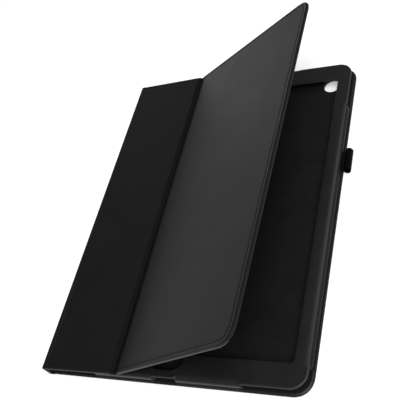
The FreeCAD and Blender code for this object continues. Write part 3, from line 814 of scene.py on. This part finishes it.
def carve(piece, section, centre, low, high):
    """Cut an upright prism through a piece: the section is a closed line of (x, y) points."""
    section = np.asarray(section, float) + centre
    count = len(section)
    points = np.concatenate([stack(section[:, 0], section[:, 1], z) for z in (low, high)])
    number = np.arange(2 * count).reshape(2, count)
    tool = closed_piece("cutter", points, quads(number, wrap=True), caps=(number[0][::-1], number[1]))
    cut = piece.modifiers.new("cut", "BOOLEAN")
    cut.operation = "DIFFERENCE"
    cut.solver = "EXACT"
    cut.object = tool
    settle(piece)
    bpy.data.objects.remove(tool)


def circle(radius, count=96):
    """Points round a circle."""
    angle = np.arange(count) * 2 * np.pi / count
    return np.stack([radius * np.cos(angle), radius * np.sin(angle)], -1)


# %% The back's leather
BACK_LEFT = -112.4
BACK_RIGHT = 118.0
BACK_HALF = 159.4
BACK_CORNER = (15.0, 15.0)
LIP_SPAN = (48.5, 61.5)
LIP_HALF = 60.0
BED_GAP = 0.4

back = covered_board("back_leather", under_case, (BACK_LEFT, BACK_RIGHT), BACK_HALF, 2.8, 0.0,
                     corner=BACK_CORNER, folds={"left": (0.6, 0.03, 0.0)}, wave=0.0)
carve(back, circle(CAMERA_RADIUS), CAMERA, -2, 1.5)
bed_left, bed_right, bed_half = LIP_SPAN[0] - BED_GAP, LIP_SPAN[1] + BED_GAP, LIP_HALF + BED_GAP
lip_bed = [(bed_left, -bed_half), (bed_right, -bed_half), (bed_right, bed_half), (bed_left, bed_half)]
carve(back, lip_bed, (0, 0), -2, 1.5)
finish_piece(back, "back", "leather", COVER_LEATHER, "back_skin")


# %% The camera hole's edge


def ring(name, centre, profile, count=96):
    """Turn a closed profile of (radius, height) points round an upright axis."""
    radius, height = np.asarray(profile, float).T
    angle = (np.arange(count) * 2 * np.pi / count)[:, None]
    points = stack(centre[0] + radius * np.cos(angle), centre[1] + radius * np.sin(angle), height)
    return closed_piece(name, points, quads(numbered(points, closed=True), wrap=True))


rim_profile = [(8.0, 0.4), (8.12, 0.12), (8.4, 0.02), (8.9, 0.06), (9.0, 0.3), (8.6, 0.5), (8.58, 2.3),
               (8.9, 2.72), (8.8, 2.92), (8.4, 2.98), (8.12, 2.86), (8.0, 2.6)]
rim = ring("camera_hole_edge", CAMERA, rim_profile)
finish_piece(rim, "back", "leather", FRAME_LEATHER)

# %% The back's lining, seen through the window
lining = plate("pocket_lining_cloth", on_case, (BACK_LEFT + 0.7, BACK_RIGHT - 2.0), BACK_HALF - 2.0, 2.1,
               2.8, corner=(13.0, 13.0), wave=0.12, step=4.0)
carve(lining, circle(CAMERA_RADIUS + 0.6), CAMERA, 1.0, 4.0)
finish_piece(lining, "back", "lining", LINING, "back_lining")

back_seams = seam_line(under_case, (BACK_LEFT, BACK_RIGHT), BACK_HALF, BACK_CORNER, SEAM_IN, -0.28)
sewn = sew("back_stitches", [(line, (0, 0, -1)) for line in back_seams])
finish_piece(sewn, "back", "thread", THREAD, "back_thread")

# %% The stand lip
lip = plate("stand_lip_leather", under_case, LIP_SPAN, LIP_HALF, -0.62, -0.08, edge=0.25, step=4.0)
finish_piece(lip, "stand_lip", "leather", FRAME_LEATHER, "stand_lip")

# %% [markdown]
# ## The frame and its walls
# The frame is leather over thin card. Its section is a closed loop: from the outer edge in over the top,
# round the window's edge, and back underneath. The loop is carried along two outlines at once, the frame's
# own and the window's with its notch, and the top is a straight mix of the two. Where a wall stands, the
# top leans over into the wall's shoulder; elsewhere the edge is thin and round.

# %% Outlines of the frame and its window
FRAME_LEFT, FRAME_RIGHT, FRAME_HALF = -113.2, 115.6, 157.0
FRAME_UNDER, FRAME_TOP = 9.95, 11.2
FREE_CORNER, SPINE_CORNER = 13.0, 1.5
WINDOW_HALF_X, WINDOW_HALF_Y, WINDOW_CORNER = 103.7, 137.5, 3.5
NOTCH_RADIUS, NOTCH_CENTRE = 14.1, -139.4
NOTCH_FLARE, FLARE_OUT, BOWL_SHARE = 5.5, 3.2, 0.80


def side_points():
    """Shares along each side, closer together near the corners, and closer still at the notch."""
    long_side = grid_lines(0, 1, 0.016, np.array([0, 0.004, 0.009, 0.016, 0.026, 0.04, 0.06]))
    notch = np.concatenate([
        np.linspace(0, 0.42, 30)[:-1], np.linspace(0.42, 0.62, 60), np.linspace(0.62, 1, 30)[1:],
    ])
    return long_side, np.unique(np.concatenate([notch, long_side[:7], long_side[-7:]]))


def rounded_box(left, right, half, radii, shares):
    """Points round a box from its bottom left corner, counter-clockwise, with its corners rounded.

    Each side's points run between its corners' arcs, and each arc has 12 points of its own.
    """
    spots = [(left, -half), (right, -half), (right, half), (left, half)]
    ways = [(1, 0), (0, 1), (-1, 0), (0, -1)]
    parts = []
    for k in range(4):
        corner, radius = np.array(spots[k], float), radii[k]
        way, before = np.array(ways[k], float), np.array(ways[k - 1], float)
        centre = corner + radius * (way - before)
        sweep = np.linspace(0, np.pi / 2, 12)[:, None]
        parts.append(centre + radius * (before * np.sin(sweep) - way * np.cos(sweep)))
        following, next_radius = np.array(spots[(k + 1) % 4], float), radii[(k + 1) % 4]
        start, end = corner + way * radius, following - way * next_radius
        share = shares[k][1:-1, None]
        parts.append(start + (end - start) * share)
    return np.concatenate(parts)


LONG, NOTCHED = side_points()
SHARES = (NOTCHED, LONG, LONG, LONG)


def frame_outline(inset):
    """The frame's outline, moved in."""
    at_spine, free = max(SPINE_CORNER - inset, 0.3), max(FREE_CORNER - inset, 0.3)
    radii = [at_spine, free, free, at_spine]
    return rounded_box(FRAME_LEFT + inset, FRAME_RIGHT - inset, FRAME_HALF - inset, radii, SHARES)


def window_outline(grow):
    """The window's outline, grown, with its bottom side pushed out into the notch.

    The middle share of the notch is half a circle; the rest flares out into the straight side.
    """
    points = rounded_box(-WINDOW_HALF_X - grow, WINDOW_HALF_X + grow, WINDOW_HALF_Y + grow,
                         [WINDOW_CORNER + grow] * 4, SHARES)
    radius = NOTCH_RADIUS + grow
    x, y = points.T
    share = x / (radius + NOTCH_FLARE)
    angle = share / BOWL_SHARE * np.pi / 2
    flare = np.clip((np.abs(share) - BOWL_SHARE) / (1 - BOWL_SHARE), 0, 1)
    bowl = np.stack([radius * np.sin(angle), NOTCH_CENTRE - radius * np.cos(angle)], -1)
    side = np.stack([np.sign(x) * (radius + FLARE_OUT * flare**2),
                     NOTCH_CENTRE + (y - NOTCH_CENTRE) * flare], -1)
    notch = np.where((np.abs(share) < BOWL_SHARE)[:, None], bowl, side)
    in_notch = (y < -WINDOW_HALF_Y + 0.01) & (np.abs(share) < 1)
    return np.where(in_notch[:, None], notch, points)


# %% Where the frame leans over a wall
WALL_ENDS = {"right": (-139.0, 104.5), "bottom_left": (-65.0, -10.5), "bottom_right": (10.5, 65.0),
             "top": (-65.0, 65.0)}
SHOULDER_IN, SHOULDER_SPAN = -2.2, 7.0
SHOULDER_FOOT, SHOULDER_RISE, SHOULDER_POWER = 7.5, 3.7, 2.5


def between(value, low, high, soft=1.5):
    """1 between two places, 0 outside them, with soft ends."""
    return np.clip((value - low) / soft + 0.5, 0, 1) * np.clip((high - value) / soft + 0.5, 0, 1)


def wall_beside(points):
    """1 where a wall stands beside the frame's outline, 0 at the gaps."""
    x, y = points[:, 0], points[:, 1]
    right = between(y, *WALL_ENDS["right"]) * (x > 110)
    bottom = (between(x, *WALL_ENDS["bottom_left"]) + between(x, *WALL_ENDS["bottom_right"])) * (y < -150)
    top = between(x, *WALL_ENDS["top"]) * (y > 150)
    return np.clip(right + bottom + top, 0, 1)


def shoulder(out):
    """Height of the shoulder over a wall, where out is measured from the pocket's side: a superellipse."""
    share = np.clip((out - SHOULDER_IN) / SHOULDER_SPAN, 0, 1)
    return SHOULDER_FOOT + SHOULDER_RISE * (1 - share**SHOULDER_POWER) ** (1 / SHOULDER_POWER)


# %% The frame's leather
TOP_INSETS = (0.0, 0.1, 0.3, 0.6, 1.0, 1.6, 2.4, 3.4, 4.6, 6.5)
WINDOW_EDGE = ((1.4, 11.2), (0.9, 11.17), (0.5, 11.08), (0.2, 10.9), (0.05, 10.7), (0.0, 10.4), (0.1, 10.05),
               (0.4, 9.98), (0.9, FRAME_UNDER), (3.0, FRAME_UNDER))
UNDER_INSETS = (6.5, 1.0, 0.3, 0.06)
rows, edges, wall = [], [], wall_beside(frame_outline(0.0))
for inset in TOP_INSETS:
    free = FRAME_TOP - rounding(inset, 1.0, 0.75)
    leaning = shoulder(3.5 - inset)
    rows.append(stack(*frame_outline(inset).T, free + (leaning - free) * wall))
    edges.append(np.exp(-((inset / 0.9) ** 2)) * (1 - wall))
outer, inner = frame_outline(TOP_INSETS[-1]), window_outline(WINDOW_EDGE[0][0])
for share in np.linspace(0, 1, 7)[1:-1]:
    flat = outer + (inner - outer) * share
    rows.append(stack(*flat.T, FRAME_TOP + 0.04 * np.sin(share * np.pi)))
    edges.append(0 * wall)
for grow, height in WINDOW_EDGE:
    rows.append(stack(*window_outline(grow).T, height))
    edges.append(0 * wall + 0.5 * np.exp(-((grow / 0.8) ** 2)))
for inset in UNDER_INSETS:
    rows.append(stack(*frame_outline(inset).T, FRAME_UNDER))
    edges.append(0 * wall)
points = np.stack(rows)
frame_leather = closed_piece("frame_leather", points, quads(numbered(points, closed=True), wrap=True),
                             marks={"edge": np.stack(edges)})
finish_piece(frame_leather, "back", "leather", FRAME_LEATHER, "frame_skin")


# %% The frame's card and cloth
def frame_layer(name, inset, grow, low, high):
    """A flat layer between the frame's outline, moved in, and the window's, grown: four rows closed."""
    outer, inner = frame_outline(inset), window_outline(grow)
    section = ((outer, high), (inner, high), (inner, low), (outer, low))
    rows = np.stack([stack(*line.T, z) for line, z in section])
    return closed_piece(name, rows, quads(numbered(rows, closed=True), wrap=True))


card = frame_layer("frame_card", 4.5, 1.2, 10.15, 10.6)
finish_piece(card, "back", "board", BOARD, "frame_board")
frame_cloth = frame_layer("frame_lining_cloth", 1.2, 1.2, 9.8, 10.05)
finish_piece(frame_cloth, "back", "lining", LINING, "frame_lining")

# %% [markdown]
# ## The walls
# A wall is foam between a soft lining and the frame's leather, which comes down over it and ends in a
# flange sewn to the back. Its section starts on the frame's edge with the same shoulder, so the two pieces
# read as one skin, and it is carried along the pocket's side.

# %% A wall's leather
POCKET_RIGHT, POCKET_END = 112.1, 153.5
WALL_IN, WALL_OUT = 3.45, 4.8


def wall_section():
    """The wall's skin seen from its end, as closed (out, z) points from the frame's edge."""
    over = np.linspace(WALL_IN, WALL_OUT, 12)
    top = np.stack([over, shoulder(over)], -1)
    side = [(4.74, 6.6), (4.6, 5.6), (4.46, 4.6), (4.44, 4.0), (4.6, 3.64), (5.0, 3.5)]
    flange = [(5.6, 3.48), (5.8, 3.4), (5.9, 3.2), (5.88, 2.95), (5.7, 2.82)]
    inside = [(4.2, 2.82), (4.12, 9.75), (WALL_IN, 9.85)]
    return np.concatenate([top, side, flange, inside])


TO_SIDE = {
    "right": lambda out, run, z: stack(POCKET_RIGHT + out, run, z),
    "bottom": lambda out, run, z: stack(run, -POCKET_END - out, z),
    "top": lambda out, run, z: stack(run, POCKET_END + out, z),
}


def wall_leather(name, side, low, high, ramps):
    """Carry the section along the wall. At its ends the skin draws in towards the frame's edge."""
    section = wall_section()
    close = np.array([0, 0.15, 0.45, 1, 2, 3.5, 5])
    runs = np.concatenate([low + close, np.arange(low + 8, high - 6, 4.0), high - close[::-1]])
    from_low, from_high = runs - low, high - runs
    ease = np.ones_like(runs)
    for distance, ramp_width in ((from_low, ramps[0]), (from_high, ramps[1])):
        edge = 1 - rounding(distance, 0.8, 0.16)
        share = np.clip(distance / max(ramp_width, 1e-6), 0, 1)
        ease = ease * edge * (1 if ramp_width == 0 else 0.55 + 0.45 * share**2 * (3 - 2 * share))
    out = WALL_IN + (section[None, :, 0] - WALL_IN) * ease[:, None]
    points = TO_SIDE[side](out, runs[:, None], section[None, :, 1])
    number = numbered(points)
    return closed_piece(name, points, quads(number, wrap=True), caps=(number[0][::-1], number[-1]))


flange_seams = []
for wall_name, side, ramps in (("right", "right", (0, 4.5)), ("bottom_left", "bottom", (0, 0)),
                               ("bottom_right", "bottom", (0, 0)), ("top", "top", (0, 0))):
    low, high = WALL_ENDS[wall_name]
    piece = wall_leather(f"{wall_name}_wall_leather", side, low, high, ramps)
    # The right wall takes the darker copy: painted shade, as if that side lay in shadow.
    finish = WALL_PAINTED_SHADE if wall_name == "right" else FRAME_LEATHER
    finish_piece(piece, "back", "leather", finish, f"{wall_name}_wall_skin")
    run = np.linspace(low + 2, high - 2 - ramps[1], 100)
    flange_seams.append((TO_SIDE[side](0 * run + 5.45, run, 3.46), (0, 0, 1)))
flange = sew("flange_stitches", flange_seams, pitch=3.2, length=2.4, thick=0.4)
finish_piece(flange, "back", "thread", THREAD, "flange_thread")

# %% [markdown]
# ## The stylus loop
# The loop is a band of woven elastic whose two ends are sewn in under the wall. It could be a bent sheet
# with thickness, but ribs need many rows across. So its own section, with ribs on both faces, is a closed
# line, and that line is carried round a drop shape.

# %% The elastic loop
LOOP_CENTRE = (121.75, 4.3)
LOOP_WIDE, LOOP_HIGH = 2.75, 3.5
LOOP_LOW, LOOP_BAND = 36.0, 21.8
SEWN_AT, SEWN_REACH, SEWN_WIDTH = np.radians(197), 0.55, 0.35
HALF_BAND = 0.4


def loop_band(name, steps=72, ribs=22):
    """P(a, b): round the drop by the angle a, and round the band's own flat section by b.

    The drop is an ellipse with a tip towards the wall, where the band's ends are sewn in.
    """
    a = np.arange(steps) * 2 * np.pi / steps
    away = np.abs((a - SEWN_AT + np.pi) % (2 * np.pi) - np.pi)
    tip = SEWN_REACH * np.exp(-((away / SEWN_WIDTH) ** 2))
    radius = 1 / np.hypot(np.cos(a) / LOOP_WIDE, np.sin(a) / LOOP_HIGH) + tip
    across = np.linspace(0, 1, ribs * 3 + 1)
    rib = 0.06 * np.cos(across * ribs * 2 * np.pi)
    outer = HALF_BAND - rounding(np.minimum(across, 1 - across) * LOOP_BAND, 0.5, 0.35) + rib
    band = np.concatenate([outer, -outer[::-1]])
    y = LOOP_LOW + np.concatenate([across, across[::-1]]) * LOOP_BAND
    reach = radius[:, None] + band[None]
    turn = a[:, None]
    points = stack(LOOP_CENTRE[0] + reach * np.cos(turn), y[None], LOOP_CENTRE[1] + reach * np.sin(turn))
    uv = np.stack(np.broadcast_arrays(turn * 3.2 * MM, y[None] * MM), -1)
    return closed_piece(name, points, quads(numbered(points, closed=True), wrap=True), uv=uv)


finish_piece(loop_band("stylus_loop_band"), "stylus_loop", "elastic", ELASTIC, "stylus_loop")
tab = plate("loop_tab_band", on_case, (114.0, 118.35), LOOP_BAND / 2, 2.8, 3.6, edge=0.35,
            centre=LOOP_LOW + LOOP_BAND / 2, step=1.2)
finish_piece(tab, "back", "elastic", ELASTIC, "loop_tab")

# %% [markdown]
# ## Finishes of the layers inside
# The back's board, the foam and the walls' linings have the right shape already, so they keep their CAD
# meshes and only get a finish.

# %% Finish the CAD nodes that stay
for node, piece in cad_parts.items():
    if piece.hide_render:
        continue
    finish = BOARD if node.endswith("_board") else FOAM if node.endswith("_foam") else LINING
    piece.data.materials.clear()
    piece.data.materials.append(finish)
    print("kept", node, finish.name)

# %% [markdown]
# ## Light, floor and camera
# A plain pale floor, an even pale surround, and four soft lights. The strongest hangs high in front on the
# right, away from what the flat leather mirrors, so black stays black. Two weak low ones on the left are
# for the raised panel, which faces that way and shows them as a slow gradient. One high at the back on the
# right draws the light line along the frame's shoulder.

# %% Floor and surround
scene = bpy.context.scene
scene.view_settings.view_transform = "Standard"
floor = make_piece("floor", stack(*np.meshgrid([-2500, 2500], [-2500, 2500]), -0.3), np.array([[0, 1, 3, 2]]))
floor_finish, floor_tree, floor_shader = new_material("pale_floor")
fill(floor_tree, floor_shader, Base_Color=grey(0.9), Roughness=0.9, Specular_IOR_Level=0.0,
     Emission_Color=grey(1.0), Emission_Strength=0.35)
floor.data.materials.append(floor_finish)

world = bpy.data.worlds.new("surround")
scene.world = world
world.use_nodes = True
fill(world.node_tree, world.node_tree.nodes["Background"], Color=grey(1.0), Strength=0.13)


# %% Lights
def soft_light(name, place, aim, size, power):
    """A square area light at a place, turned towards its aim."""
    data = bpy.data.lights.new(name, "AREA")
    data.size = size
    data.energy = power
    light = bpy.data.objects.new(name, data)
    scene.collection.objects.link(light)
    light.location = place
    light.rotation_euler = (Vector(aim) - Vector(place)).to_track_quat("-Z", "Y").to_euler()
    print(name, power, "W")


soft_light("overhead_light", (1.1, -1.0, 2.4), (0, 0, 0), 2.2, 75)
soft_light("front_left_light", (-0.9, -1.5, 0.75), (0, -0.1, 0), 1.0, 1.0)
soft_light("left_rear_light", (-1.05, 1.2, 0.25), (0, 0.1, 0.05), 0.8, 0.76)
soft_light("right_rear_light", (0.8, 1.15, 1.8), (0, 0, 0), 0.8, 8)

# %% The camera
camera_data = bpy.data.cameras.new("camera")
camera = bpy.data.objects.new("camera", camera_data)
scene.collection.objects.link(camera)
camera_data.sensor_width = 36.0
camera_data.lens = 59.0793
camera_data.clip_start, camera_data.clip_end = 0.01, 20
camera.location = (0.2644172, -0.2953458, 0.4444194)
camera.rotation_euler = tuple(np.radians([37.3268, 23.7475, 14.0731]))
scene.camera = camera
